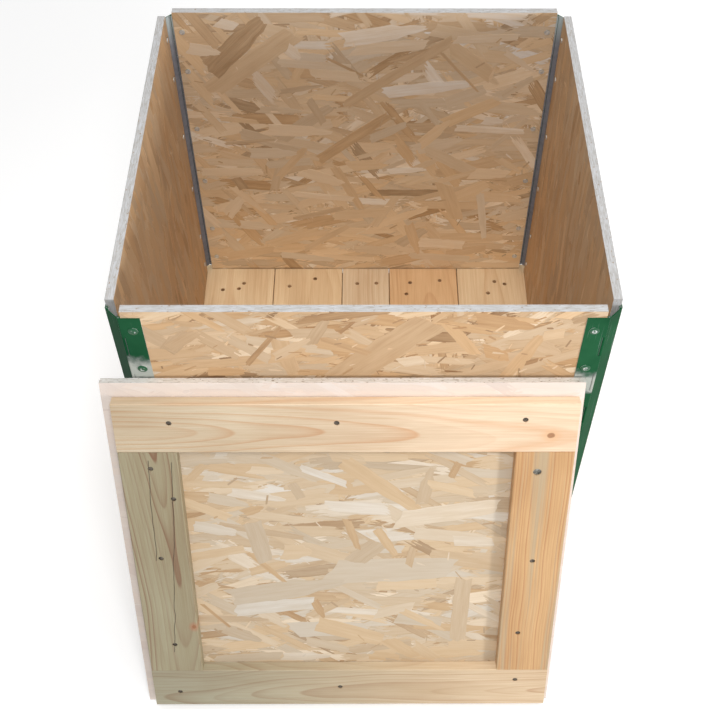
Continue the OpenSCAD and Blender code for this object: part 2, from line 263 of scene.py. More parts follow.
def make_strand_layer():
    inputs = {
        "Place": ORIGIN, "Angle": 0.0, "Seed": 0.0, "Length": 0.1, "Width": 0.02,
        "Share": 1.0, "Rank": 0.1, "Strand": ORIGIN, "Border": 1.0, "Height": 0.0,
    }
    outputs = {"Strand": "Vector", "Border": "Float", "Height": "Float"}
    tree, given, result = new_group("strand_layer", inputs, outputs)
    # the layer below shifts the place by next to nothing, so the layers are worked out in turn
    shift_x = scaled(tree, given["Height"], 1e-7, times(tree, given["Seed"], 0.731))
    shift_y = times(tree, given["Seed"], 0.317)
    shift = put(tree, "CombineXYZ", (shift_x, shift_y, 0.0))
    moved = calc_vector(tree, "ADD", given["Place"], shift)
    turned = put(tree, "VectorRotate", {"Vector": moved, "Angle": given["Angle"]},
                 rotation_type="Z_AXIS")
    along, across, _ = parts_of(tree, turned)

    # the cell, with every row of cells shifted by its own amount
    across = calc(tree, "DIVIDE", across, given["Width"])
    row = calc(tree, "FLOOR", across)
    row_chance = calc(tree, "FRACT", times(tree, row, 0.618))
    along = calc(tree, "ADD", calc(tree, "DIVIDE", along, given["Length"]), row_chance)
    cell = put(tree, "CombineXYZ", (calc(tree, "FLOOR", along), row, given["Seed"]))
    dice = tree.nodes.new("ShaderNodeTexWhiteNoise")
    tree.links.new(cell, dice.inputs[0])
    chance = dice.outputs["Value"]
    dice_a, dice_b, dice_c = parts_of(tree, dice.outputs["Color"], "SeparateColor")

    # place inside the cell, in metres, from its middle
    x = times(tree, centred(tree, calc(tree, "FRACT", along)), given["Length"])
    y = times(tree, centred(tree, calc(tree, "FRACT", across)), given["Width"])
    lean = times(tree, centred(tree, dice_a), 0.2)
    y = scaled(tree, x, lean, y)

    # how far the place is inside the strand, whose sides are rough and whose ends are ragged
    local = put(tree, "CombineXYZ", (x, y, chance))
    fringe = streaked(tree, local, (40, 420, 9), 1.5, 0.6)
    fringe = centred(tree, fringe)
    half_width = times(tree, given["Width"], scaled(tree, dice_b, 0.26, 0.22))
    half_length = times(tree, given["Length"], scaled(tree, dice_c, 0.2, 0.28))
    side_gap = calc(tree, "SUBTRACT", half_width, calc(tree, "ABSOLUTE", y))
    side_gap = scaled(tree, fringe, 0.004, side_gap)
    slant = times(tree, centred(tree, dice_b), 3.4)
    end_gap = calc(tree, "ABSOLUTE", scaled(tree, y, slant, x))
    end_gap = calc(tree, "SUBTRACT", half_length, end_gap)
    end_gap = scaled(tree, fringe, 0.05, end_gap)
    gap = calc(tree, "MINIMUM", side_gap, end_gap)
    present = calc(tree, "LESS_THAN", chance, given["Share"])
    mask = times(tree, calc(tree, "GREATER_THAN", gap, 0.0), present)
    edge = ramp_value(tree, gap, 0.0, 0.0022)

    strand = put(tree, "Mix", {0: mask, 4: given["Strand"], 5: local}, 1, data_type="VECTOR")
    tree.links.new(strand, result["Strand"])
    tree.links.new(mix_value(tree, mask, given["Border"], edge), result["Border"])
    tree.links.new(mix_value(tree, mask, given["Height"], given["Rank"]), result["Height"])
    return tree

strand_layer = make_strand_layer()
print("strand layer:", len(strand_layer.nodes), "nodes")

# %% Grain of a strand

def make_strand_grain():
    """Fine fibres and broad bands that run along a strand."""
    tree, given, result = new_group("strand_grain", {"Strand": ORIGIN}, {"Grain": "Float"})
    fine = streaked(tree, given["Strand"], (14, 1300, 9), 4.0, 0.65)
    broad = streaked(tree, given["Strand"], (24, 190, 9), 3.0, 0.55)
    grain = times(tree, centred(tree, fine), 0.34)
    grain = scaled(tree, centred(tree, broad), 0.38, grain)
    tree.links.new(grain, result["Grain"])
    return tree

strand_grain = make_strand_grain()
print("strand grain:", len(strand_grain.nodes), "nodes")

# %% The stack of layers

# direction in degrees, cell length and width in metres, and the share of cells that hold a strand
LAYERS = [
    (70, 0.050, 0.010, 1.00), (-35, 0.060, 0.012, 1.00), (105, 0.060, 0.012, 0.95),
    (10, 0.070, 0.015, 0.95), (45, 0.080, 0.017, 0.80), (-14, 0.090, 0.018, 0.85),
    (22, 0.100, 0.022, 0.70), (2, 0.110, 0.020, 0.60), (-55, 0.080, 0.018, 0.25),
]

def make_strand_board():
    tree, given, result = new_group(
        "strand_board", {"Place": ORIGIN, "Turn": 0.0, "Spread": 1.0, "Seed": 0.0},
        {"Tone": "Float", "Warmth": "Float", "Tilt": "Vector"})
    top = {"Strand": given["Place"], "Border": 1.0, "Height": 0.0}
    for number, (degrees, length, width, share) in enumerate(LAYERS):
        top = use_group(tree, strand_layer, {
            "Place": given["Place"],
            "Angle": scaled(tree, given["Spread"], math.radians(-degrees), given["Turn"]),
            "Seed": calc(tree, "ADD", given["Seed"], 3.7 * number),
            "Length": length, "Width": width, "Share": share,
            "Rank": (number + 1) / len(LAYERS),
            "Strand": top["Strand"], "Border": top["Border"], "Height": top["Height"],
        })
    grain = use_group(tree, strand_grain, {"Strand": top["Strand"]})["Grain"]
    chance = parts_of(tree, top["Strand"])[2]

    # most strands are near the middle tone, and a few are much darker or paler
    spread = calc(tree, "FRACT", times(tree, chance, 37.7))
    spread = scaled(tree, spread, 2.0, -1.0)
    spread = times(tree, spread, calc(tree, "ABSOLUTE", spread))
    spread = scaled(tree, spread, 0.40, 0.5)
    # painted shade: the edge of the strand on top is a little darker, standing in for its relief
    edge_shade = scaled(tree, top["Border"], 0.10, -0.10)
    tone = calc(tree, "ADD", calc(tree, "ADD", spread, grain), edge_shade)
    warmth = calc(tree, "FRACT", times(tree, chance, 91.3))
    tree.links.new(tone, result["Tone"])
    tree.links.new(warmth, result["Warmth"])

    # each strand lies at its own slight tilt, so each one takes the light in its own way
    own = put(tree, "TexWhiteNoise", {"Vector": put(tree, "CombineXYZ", (chance, 0.0, 0.0))}, 1)
    tilt = calc_vector(tree, "SUBTRACT", own, (0.5, 0.5, 0.5))
    tree.links.new(tilt, result["Tilt"])
    return tree

strand_board = make_strand_board()
print("strand board:", len(LAYERS), "layers")

# %% [markdown]
# ## From place on the crate to place on the board
# A wall is a flat board, so its pattern needs two directions in the board and one through it.
# The front and back walls lie in X and Z, the side walls in Y and Z. The lid leans, so its
# places are turned back by the lean first. The surface normal is put in the same order, and
# tells a face from a cut edge.

# %% Places and normals
LID_LEAN = math.radians(18.3)
LID_FOOT = Vector((-0.022, -0.39694, 0.0003))

def board_place(tree, order, leaning=False):
    """Place and normal of the surface in a board's own directions."""
    place, normal = surface(tree)
    if leaning:
        place = calc_vector(tree, "SUBTRACT", place, tuple(LID_FOOT))
        flat = {"Angle": LID_LEAN - math.pi / 2}
        place = put(tree, "VectorRotate", {"Vector": place, **flat}, rotation_type="X_AXIS")
        normal = put(tree, "VectorRotate", {"Vector": normal, **flat}, rotation_type="X_AXIS")
    return reorder(tree, place, order), reorder(tree, normal, order)

print("the lid leans by", round(math.degrees(LID_LEAN), 1), "degrees")

# %% [markdown]
# ## Finish of the boards
# Each board has its own colours, and the side walls are smooth with fine upright streaks. A cut
# edge shows the pressed layers end on, in pale grey. The lid keeps a bare pale border, a wall has
# a band of painted shade at its foot, and the back wall has painted shade towards its rim. One
# function makes all of them, for they differ in a few numbers.

# %% Strand board material

def finish_surface(tree, colour, rough, height, distance, metallic=0.0, gloss=0.5):
    """A principled surface with a bump, linked to the material's output."""
    bump = put(tree, "Bump", {"Height": height, "Distance": distance, "Strength": 1.0})
    shader = put(tree, "BsdfPrincipled", {
        "Base Color": colour, "Roughness": rough, "Metallic": metallic, "Normal": bump,
        "Specular IOR Level": gloss})
    show(tree, shader)

FOOT_SHADE_TOP = 0.1025
COOL_STRAND, WARM_STRAND = seen(242, 245, 250), seen(255, 245, 230)
TONE_PLACES = (0.05, 0.26, 0.50, 0.74, 0.95)

def tones(*shades):
    """The colours of a board's strands, from the darkest to the palest."""
    return [(place, seen(*shade)) for place, shade in zip(TONE_PLACES, shades)]

BACK_COLOURS = tones(
    (174, 145, 108), (208, 180, 143), (224, 200, 165), (234, 214, 184), (248, 238, 220))
FRONT_COLOURS = tones(
    (144, 108, 72), (184, 149, 110), (204, 173, 137), (216, 189, 156), (232, 214, 190))
SIDE_COLOURS = tones(
    (178, 145, 110), (190, 158, 123), (197, 167, 132), (203, 174, 140), (214, 188, 156))
LID_COLOURS = tones(
    (168, 138, 104), (190, 166, 136), (202, 183, 157), (210, 195, 174), (224, 214, 200))
# painted shade: the tint and the heights over which a wall is darkened towards its rim
RIM_SHADE_TINT, RIM_SHADE_SPAN = seen(225, 224, 229), (0.12, 0.55)
BORDER_SIDE, BORDER_TOP = (0.234, 0.238), (0.461, 0.466)
WALL_EDGE = [(0.30, seen(146, 142, 136)), (0.50, seen(172, 171, 170)), (0.72, seen(190, 192, 196))]
LID_EDGE = [(0.30, seen(184, 178, 168)), (0.50, seen(216, 212, 206)), (0.72, seen(236, 234, 234))]

def rim_shaded(tree, colour, up, amount):
    """Painted shade: a wall is darkened towards its rim by the given amount, and kept as it is at
    its foot.
    """
    share = times(tree, ramp_value(tree, up, *RIM_SHADE_SPAN), amount)
    return mix_colour(tree, 1.0, colour, mix_colour(tree, share, (1, 1, 1, 1), RIM_SHADE_TINT), "MULTIPLY")

def strand_material(name, order, seed, turn, spread, stops, leaning=False, rim_shade=0.0):
    made, tree = new_material(name)
    place, normal = board_place(tree, order, leaning)
    through = parts_of(tree, normal)[2]
    side = calc(tree, "SIGN", through)
    board = use_group(tree, strand_board, {
        "Place": place, "Turn": math.radians(turn), "Spread": spread,
        "Seed": scaled(tree, side, 1.7, seed)})
    face = colours(tree, board["Tone"], stops)
    warm = mix_colour(tree, board["Warmth"], COOL_STRAND, WARM_STRAND)
    face = mix_colour(tree, 1.0, face, warm, "MULTIPLY")

    # a lid keeps a bare pale border round its battens; a wall has painted shade at its foot
    across, up, _ = parts_of(tree, place)
    foot_wobble = streaked(tree, place, (30, 120, 30), 3.0, 0.6)
    if leaning:
        beside = ramp_value(tree, calc(tree, "ABSOLUTE", across), *BORDER_SIDE)
        outside = calc(tree, "MAXIMUM", beside, ramp_value(tree, up, *BORDER_TOP))
        face = mix_colour(tree, times(tree, outside, 0.7), face, seen(233, 222, 217))
    else:
        # painted shade: a dark band with a wavy top at the wall's foot stands for the shade where
        # it meets the deck
        foot = scaled(tree, foot_wobble, 0.010, FOOT_SHADE_TOP)
        foot_shade = ramp_value(tree, calc(tree, "SUBTRACT", up, foot), 0.0, -0.004)
        face = mix_colour(tree, times(tree, foot_shade, 0.6), face, seen(112, 84, 58))
        # painted shade towards the rim, on the back wall only
        face = rim_shaded(tree, face, up, rim_shade)

    # a cut edge shows thin layers end on, pale grey, with small pits between them that are
    # painted darker as the shade in them
    layers = streaked(tree, place, (90, 90, 1100), 4.0, 0.65)
    pits = streaked(tree, place, (260, 260, 700), 2.0, 0.5)
    edge = colours(tree, layers, LID_EDGE if leaning else WALL_EDGE)
    edge = mix_colour(tree, ramp_value(tree, pits, 0.60, 0.74), edge, seen(136, 118, 98))
    on_face = ramp_value(tree, calc(tree, "ABSOLUTE", through), 0.6, 0.8)
    colour = mix_colour(tree, on_face, edge, face)
    rough = mix_value(tree, board["Tone"], 0.74, 0.56)

    rise = streaked(tree, place, (90, 90, 500), 3.0, 0.6)
    bump = put(tree, "Bump", {"Height": rise, "Distance": 0.0003, "Strength": 1.0})
    tilt = calc_vector(tree, "MULTIPLY", board["Tilt"], (0.10, 0.10, 0.10))
    facet = calc_vector(tree, "ADD", bump, tilt)
    facet = calc_vector(tree, "NORMALIZE", facet)
    shader = put(tree, "BsdfPrincipled", {
        "Base Color": colour, "Roughness": rough, "Normal": facet})
    show(tree, shader)
    return made

def dress(node, material):
    """Puts one material on a node of the crate."""
    mesh = nodes[node].data
    mesh.materials.clear()
    mesh.materials.append(material)

# panel: order of its directions, seed, turn in degrees, spread, colours, how much painted shade
# it has towards its rim
WALLS = {
    "back_wall_panel": ("xzy", 3.1, 6, 1.0, BACK_COLOURS, 1.0),
    "front_wall_panel": ("xzy", 11.4, -4, 0.9, FRONT_COLOURS, 0.0),
    "left_wall_panel": ("yzx", 21.9, 77, 0.16, SIDE_COLOURS, 0.0),
    "right_wall_panel": ("yzx", 31.3, 96, 0.22, SIDE_COLOURS, 0.0),
}
for name, (order, seed, turn, spread, stops, rim_shade) in WALLS.items():
    dress(name, strand_material(name + "_board", order, seed, turn, spread, stops, rim_shade=rim_shade))
lid_board = strand_material("lid_sheet_board", "xyz", 47.6, 6, 0.6, LID_COLOURS, leaning=True)
dress("lid_sheet", lid_board)
print("strand board on", len(WALLS) + 1, "sheets")

# %% [markdown]
# ## Strands that stand proud
# On a real board the top strands are pieces of wood that lie on the others, a fraction of a
# millimetre proud, with torn ends. A drawn pattern can't show their edges in a low light, so
# these strands are pieces. Four torn strands are modelled from a grid: its ends and sides are
# roughened, and it is extruded to a closed slab. Copies of them are laid on the boards.

# %% Four torn strands

def select_where(piece, test):
    """Selects the vertices of a piece that pass a test, and leaves it in edit mode."""
    bpy.ops.object.mode_set(mode="EDIT")
    bpy.ops.mesh.select_mode(type="VERT")
    bpy.ops.mesh.select_all(action="DESELECT")
    bpy.ops.object.mode_set(mode="OBJECT")
    for vertex in piece.data.vertices:
        vertex.select = test(vertex.co)
    bpy.ops.object.mode_set(mode="EDIT")

TAPERS = (0.95, 0.55, 0.8, 0.3)

def model_strand(number):
    """A torn strand along X that is 1 long, 1 wide and 1 thick."""
    bpy.ops.mesh.primitive_grid_add(x_subdivisions=8, y_subdivisions=5, size=1)
    strand = bpy.context.object
    strand.name = f"strand_pattern_{number}"
    for end, share in ((0.49, TAPERS[number]), (0.30, (1 + TAPERS[number]) / 2)):
        select_where(strand, lambda co: end - 0.1 < co.x < end + 0.1)
        bpy.ops.transform.resize(value=(1, share, 1))
        bpy.ops.object.mode_set(mode="OBJECT")
    select_where(strand, lambda co: abs(co.x) > 0.49)
    bpy.ops.transform.vertex_random(offset=0.05, seed=number)
    select_where(strand, lambda co: abs(co.y) > 0.3 and abs(co.x) < 0.45)
    bpy.ops.transform.vertex_random(offset=0.06, seed=number + 20)
    bpy.ops.mesh.select_all(action="SELECT")
    bpy.ops.transform.resize(value=(1, 1, 0))
    bpy.ops.mesh.extrude_region_move(TRANSFORM_OT_translate={"value": (0, 0, 1)})
    bpy.ops.mesh.select_all(action="SELECT")
    bpy.ops.mesh.normals_make_consistent(inside=False)
    bpy.ops.object.mode_set(mode="OBJECT")
    return strand

patterns = [model_strand(number) for number in range(4)]
print("a strand has", len(patterns[0].data.vertices), "vertices")

# %% Material of the strands

def strand_piece_material(name, stops, rim_shade):
    """The strand's map gives the place on it, and its look holds tone, warmth and chance."""
    made, tree = new_material(name)
    along, across, _ = parts_of(tree, put(tree, "UVMap", uv_map="UVMap"))
    look = put(tree, "Attribute", attribute_name="look")
    tone, warmth, chance = parts_of(tree, look, "SeparateColor")
    strand = put(tree, "CombineXYZ", (along, across, chance))
    grain = use_group(tree, strand_grain, {"Strand": strand})
    face = colours(tree, calc(tree, "ADD", tone, grain["Grain"]), stops)
    warm = mix_colour(tree, warmth, COOL_STRAND, WARM_STRAND)
    face = mix_colour(tree, 1.0, face, warm, "MULTIPLY")
    up = parts_of(tree, surface(tree)[0])[2]
    # painted shade towards the rim, on the back wall's strands
    face = rim_shaded(tree, face, up, rim_shade)
    finish_surface(tree, face, 0.6, grain["Grain"], 0.0002)
    return made

print("strand material ready")

# %% [markdown]
# A face of a board is given by its own directions: one along it, one up it and one out of it.
# The strands are laid by those, in millimetres, so the same table works on a standing wall and
# on the leaning lid. A strand that crosses others is laid on top of them, one step higher.

# %% Faces of the boards
X, Y, Z = Vector((1, 0, 0)), Vector((0, 1, 0)), Vector((0, 0, 1))
LID_UP = Vector((0, math.sin(LID_LEAN), math.cos(LID_LEAN)))
LID_OUT = Vector((0, -math.cos(LID_LEAN), math.sin(LID_LEAN)))
HALF_X, HALF_Y, BOARD = 0.250, 0.243, 0.009

def face_matrix(along, up, origin):
    out = along.cross(up)
    return Matrix.Translation(origin) @ Matrix((along, up, out)).transposed().to_4x4()

FACES = {
    "back_inside": face_matrix(X, Z, (HALF_Y - BOARD) * Y),
    "back_outside": face_matrix(-X, Z, HALF_Y * Y),
    "front_inside": face_matrix(-X, Z, (BOARD - HALF_Y) * Y),
    "front_outside": face_matrix(X, Z, -HALF_Y * Y),
    "left_inside": face_matrix(Y, Z, (BOARD - HALF_X) * X),
    "left_outside": face_matrix(-Y, Z, -HALF_X * X),
    "right_inside": face_matrix(-Y, Z, (HALF_X - BOARD) * X),
    "right_outside": face_matrix(Y, Z, HALF_X * X),
    "lid_inside": face_matrix(X, LID_UP, LID_FOOT + BOARD * LID_OUT),
    "lid_outside": face_matrix(-X, LID_UP, LID_FOOT),
}
print("faces:", ", ".join(FACES))

# %% Laying strands
SUNK = 0.0001
THINNEST, STEP = 0.00008, 0.000012
SLANT = 1.4

def crosses(one, other):
    """Whether two strands overlap, tested along and across each of them, with a small margin."""
    boxes = []
    for u, v, length, width, degrees, *_ in (one, other):
        angle = math.radians(degrees)
        along = Vector((math.cos(angle), math.sin(angle)))
        boxes.append((Vector((u, v)), along, along.orthogonal(), length * 0.6, width))
    away = boxes[1][0] - boxes[0][0]
    for _, along, across, _, _ in boxes:
        for axis in (along, across):
            reach = sum(abs(axis @ a) * far + abs(axis @ b) * wide for _, a, b, far, wide in boxes)
            if abs(away @ axis) > reach:
                return False
    return True

def stack(strands):
    """The layer of each strand, one above the highest strand that it crosses."""
    layers = []
    for number, strand in enumerate(strands):
        below = [layers[n] for n in range(number) if crosses(strand, strands[n])]
        layers.append(1 + max(below, default=0))
    return layers

def lay_strand(number, layer, face, strand):
    """strand: middle along and up, length and width in mm, degrees, tone, warmth."""
    u, v, length, width, degrees, tone, warmth = strand
    mesh = patterns[number % len(patterns)].data.copy()
    rise = THINNEST + STEP * layer
    size = Matrix.Diagonal((length / 1000, width / 1000, rise + SUNK, 1))
    slant = Matrix.Identity(4)
    slant[0][1] = ((number * 0.37) % 1 - 0.5) * SLANT * width / length
    turn = Matrix.Rotation(math.radians(degrees), 4, "Z")
    mesh.transform(face @ Matrix.Translation((u / 1000, v / 1000, -SUNK)) @ turn @ size @ slant)
    for corner in mesh.uv_layers[0].data:
        corner.uv = (corner.uv.x * length / 1000, corner.uv.y * width / 1000)
    look = mesh.attributes.new("look", "FLOAT_COLOR", "POINT")
    for point in look.data:
        point.color = (tone, warmth, (number * 0.618) % 1, 1)
    piece = bpy.data.objects.new("strand", mesh)
    bpy.context.collection.objects.link(piece)
    return piece

def lay_strands(name, body, face, strands, material):
    """Lays strands on one face and joins them to one piece that moves with its board."""
    bpy.ops.object.select_all(action="DESELECT")
    layers = stack(strands)
    pieces = [lay_strand(n, layers[n], FACES[face], strand) for n, strand in enumerate(strands)]
    for piece in pieces:
        piece.select_set(True)
    bpy.context.view_layer.objects.active = pieces[0]
    bpy.ops.object.join()
    joined = bpy.context.object
    joined.name = name
    joined.data.materials.clear()
    joined.data.materials.append(material)
    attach(joined, body)
    joined.select_set(False)
    print(name, "has", len(strands), "strands in", max(layers), "layers")

print("each layer of strands is", round(STEP * 1e6), "thousandths of a millimetre thick")

# %% [markdown]
# The strands that catch the eye in the photograph are given one by one, each with its place, size,
# direction and tone. Between them and on the faces that the photograph doesn't show, strands
# are laid by chance, mostly near the middle tone and mostly along the board's own direction.

# %% Strands given one by one
BACK_STRANDS = [
    (-143, 485, 142, 27, 38, 0.36, 0.6), (-161, 509, 104, 29, 47, 0.04, 0.5),
    (31, 508, 90, 17, 5, 0.78, 0.6), (23, 528, 105, 22, 10, 0.9, 0.4),
    (42, 469, 169, 14, 37, 0.27, 0.6), (79, 445, 110, 18, 8, 0.97, 0.2),
    (-16, 362, 121, 16, 39, 0.16, 0.8), (-89, 374, 88, 19, -4, 0.76, 0.6),
    (-64, 407, 43, 11, -65, 0.25, 0.2), (-24, 270, 89, 13, -65, 0.34, 0.7),
    (121, 244, 72, 22, -72, 0.38, 0.7), (71, 168, 65, 15, -75, 0.34, 0.7),
    (-176, 279, 24, 14, -64, 0.05, 0.4), (56, 304, 50, 10, 5, 0.97, 0.3),
    (167, 376, 91, 11, -4, 0.86, 0.4), (170, 391, 27, 13, -5, 0.88, 0.2),
    (134, 487, 68, 21, -38, 0.4, 0.7), (121, 470, 80, 4, -50, 0.2, 0.7),
    (-169, 541, 23, 15, -18, 0.85, 0.3), (-89, 499, 22, 16, -43, 0.88, 0.4),
    (-59, 254, 85, 10, -7, 0.8, 0.5), (-61, 290, 60, 18, -23, 0.72, 0.6),
    (-185, 301, 83, 14, 0, 0.72, 0.5), (-83, 444, 56, 8, 10, 0.22, 0.2),
    (-67, 221, 76, 9, 17, 0.24, 0.3), (-156, 356, 68, 6, 6, 0.24, 0.2),
    (151, 521, 77, 11, 3, 0.75, 0.5), (196, 486, 51, 8, -36, 0.72, 0.5),
    (113, 158, 67, 18, -5, 0.82, 0.5), (173, 297, 52, 19, 0, 0.74, 0.7),
    (-25, 478, 53, 4, -31, 0.1, 0.7), (-201, 503, 40, 17, -11, 0.74, 0.4),
    (-38, 465, 60, 16, -4, 0.68, 0.6),
]
LID_STRANDS = [
    (51, 221, 138, 36, 2, 0.6, 0.1), (-69, 190, 136, 28, 11, 0.46, 0.0),
    (-84, 163, 93, 19, 8, 0.92, 0.0), (-21, 126, 89, 25, 3, 0.74, 0.0),
    (4, 120, 82, 24, -20, 0.44, 1.0), (-95, 332, 61, 12, -11, 0.96, 0.3),
    (-22, 360, 54, 9, -25, 0.97, 0.1), (40, 346, 107, 19, -40, 0.4, 1.0),
    (113, 307, 109, 24, 10, 0.93, 0.6), (89, 346, 51, 14, 80, 0.3, 0.4),
    (119, 368, 22, 8, 69, 0.06, 0.9), (-90, 226, 60, 7, -50, 0.16, 1.0),
    (-97, 264, 60, 21, -79, 0.34, 0.1), (-55, 249, 33, 22, 0, 0.56, 0.8),
    (24, 249, 42, 22, 45, 0.26, 0.2), (46, 264, 45, 11, -61, 0.32, 1.0),
    (74, 242, 28, 9, 80, 0.24, 0.6), (-32, 158, 29, 10, -68, 0.06, 1.0),
    (134, 157, 102, 19, 88, 0.36, 0.5), (8, 276, 46, 9, -74, 0.14, 0.9),
    (118, 273, 81, 17, -7, 0.8, 0.5), (-50, 78, 59, 13, 0, 0.97, 0.4),
    (116, 342, 52, 11, -16, 0.62, 1.0), (-145, 284, 47, 15, -12, 0.86, 0.1),
    (-154, 148, 48, 4, -52, 0.02, 1.0), (-101, 312, 24, 11, 23, 0.18, 0.9),
    (-52, 339, 23, 11, -65, 0.3, 0.3), (65, 92, 46, 18, -39, 0.36, 1.0),
    (144, 265, 44, 15, -3, 0.92, 0.4), (91, 139, 61, 10, -33, 0.52, 1.0),
    (-159, 365, 30, 9, 49, 0.34, 0.8),
]
FRONT_STRANDS = [
    (20, 498, 131, 36, 45, 0.42, 0.5), (-100, 506, 70, 6, 58, 0.22, 0.6),
    (96, 517, 55, 13, -58, 0.52, 1.0), (136, 541, 60, 20, -11, 0.28, 0.9),
    (-18, 506, 53, 8, -27, 0.34, 0.7), (-46, 527, 40, 13, 66, 0.4, 0.1),
    (-179, 515, 38, 13, 38, 0.42, 0.3), (-72, 503, 47, 12, 37, 0.7, 0.4),
    (48, 482, 25, 15, 11, 0.88, 0.4), (-141, 465, 37, 13, 0, 0.4, 1.0),
    (169, 481, 13, 7, 23, 0.12, 0.6), (91, 465, 19, 3, -5, 0.02, 0.6),
    (186, 524, 21, 14, 13, 0.72, 0.6), (132, 494, 27, 18, -21, 0.34, 1.0),
    (-17, 535, 21, 4, 50, 0.12, 0.7),
]
print("laid by hand:", len(BACK_STRANDS) + len(LID_STRANDS) + len(FRONT_STRANDS), "strands")

# %% Strands laid by chance
WALL_FOOT, WALL_RIM = 103.3, 558.3
WALL_SPAN, LID_SPAN = (WALL_FOOT + 9, WALL_RIM - 2), (2, 464)
LENGTHS, WIDTHS = (34, 96), (7, 20)
DARK_BIT, PALE_BIT = 0.16, 0.78

def chance_strands(seed, count, field, direction, wander, contrast, lengths, widths):
    """Strands inside a field (half width, foot and top in mm), mostly along one direction."""
    dice = random.Random(seed)
    half, low, high = field
    strands = []
    for _ in range(count):
        length, width = dice.uniform(*lengths), dice.uniform(*widths)
        degrees = dice.gauss(direction, wander)
        reach_u = abs(math.cos(math.radians(degrees))) * length * 0.55 + width * 0.55
        reach_v = abs(math.sin(math.radians(degrees))) * length * 0.55 + width * 0.55
        u = dice.uniform(-half + reach_u, half - reach_u)
        v = dice.uniform(low + reach_v, high - reach_v)
        spread = dice.uniform(-1, 1)
        tone = 0.5 + contrast * spread * abs(spread)
        strands.append((u, v, length, width, degrees, tone, dice.random()))
    return strands

def splinters(seed, count, field, direction):
    """Short thin bits, half of them dark and half pale."""
    bits = chance_strands(seed, count, field, direction, 45, 0.0, (4, 15), (0.8, 2.6))
    return [(*bit[:5], DARK_BIT + 0.1 * bit[6] if n % 2 else PALE_BIT, bit[6])
            for n, bit in enumerate(bits)]

def softened(strands, share):
    """The same strands with their tones brought nearer to the middle tone."""
    return [(*strand[:5], 0.5 + share * (strand[5] - 0.5), strand[6]) for strand in strands]

# face: its body, seed, strands, splinters, half width, direction, wander, contrast, colours,
# the strands given one by one, how much of their contrast is kept, and how much painted shade
# the face has towards its rim
STRAND_FACES = {
    "back_inside": ("back_wall", 1, 60, 50, 228, 4, 30, 0.18, BACK_COLOURS, BACK_STRANDS, 0.8, 1),
    "back_outside": ("back_wall", 2, 90, 60, 213, 0, 32, 0.34, BACK_COLOURS, [], 1, 1),
    "front_inside": ("front_wall", 3, 80, 60, 228, 0, 32, 0.28, FRONT_COLOURS, [], 1, 0),
    "front_outside": (
        "front_wall", 4, 60, 260, 213, 20, 38, 0.24, FRONT_COLOURS, FRONT_STRANDS, 0.85, 0),
    "left_inside": ("left_wall", 5, 60, 30, 218, 90, 5, 0.26, SIDE_COLOURS, [], 1, 0),
    "left_outside": ("left_wall", 6, 90, 60, 205, 90, 14, 0.34, FRONT_COLOURS, [], 1, 0),
    "right_inside": ("right_wall", 7, 60, 30, 218, 90, 5, 0.26, SIDE_COLOURS, [], 1, 0),
    "right_outside": ("right_wall", 8, 90, 60, 205, 90, 14, 0.34, FRONT_COLOURS, [], 1, 0),
    "lid_inside": ("lid", 9, 70, 90, 236, 0, 18, 0.24, LID_COLOURS, LID_STRANDS, 0.7, 0),
    "lid_outside": ("lid", 10, 90, 60, 246, 0, 20, 0.36, LID_COLOURS, [], 1, 0),
}
for face, settings in STRAND_FACES.items():
    body, seed, count, bits, half, direction, wander, contrast, stops, by_hand, kept, rim_shade = settings
    field = (half, *(LID_SPAN if body == "lid" else WALL_SPAN))
    strands = chance_strands(seed, count, field, direction, wander, contrast, LENGTHS, WIDTHS)
    strands += softened(by_hand, kept) + splinters(seed + 50, bits, field, direction)
    material = strand_piece_material(face + "_strand", stops, rim_shade)
    lay_strands(face + "_strands", body, face, strands, material)
for pattern in patterns:
    bpy.data.objects.remove(pattern)
print("strands on", len(STRAND_FACES), "faces")

# %% [markdown]
# ## Pine
# A sawn board is cut from a trunk, so its grain is the trunk's rings seen where the saw went
# through them. The rings are circles round a wavy line that runs along the board, a little
# below its face. Where that line slopes, the rings leave the face in tall arches. Each ring goes
# slowly from pale to dark and then stops, and fine fibres run the length of the board.

# %% Pine grain

